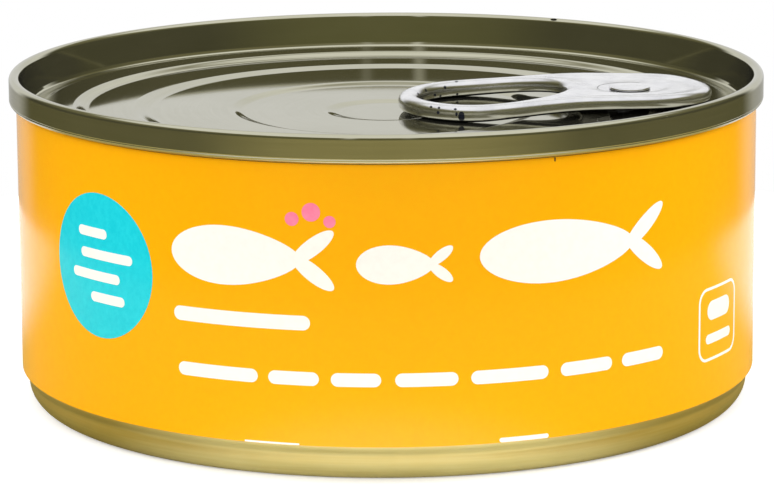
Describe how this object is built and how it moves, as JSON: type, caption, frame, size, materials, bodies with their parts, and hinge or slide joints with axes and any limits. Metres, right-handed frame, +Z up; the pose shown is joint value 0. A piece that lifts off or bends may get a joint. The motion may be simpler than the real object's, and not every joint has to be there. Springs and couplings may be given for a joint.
{
  "type": "tuna can",
  "caption": "Shut round low tin of tuna with a seamed rim, a stepped easy-open lid, a ring pull tab and a printed paper sleeve round its wall.",
  "frame": {"origin": "centre of the foot ring, on the ground plane that the can stands on", "axes": "+Z up along the can's axis, +X along the ring tab towards its nose, the printed face looks along -Y"},
  "size_m": [0.0873, 0.0872, 0.0383],
  "materials": {
    "cup_metal": "gold-olive lacquered tinplate, drawn, soft gloss",
    "lid_metal": "clear-lacquered tinplate end, pressed, near mirror",
    "tab_metal": "bare rolled metal tab, bright and smooth",
    "label_paper": "coated paper sleeve printed orange-yellow, satin"
  },
  "bodies": {
    "root": {"can_body": "cup_metal", "lid": "lid_metal", "ring_tab": "tab_metal", "label": "label_paper"}
  },
  "joints": []
}
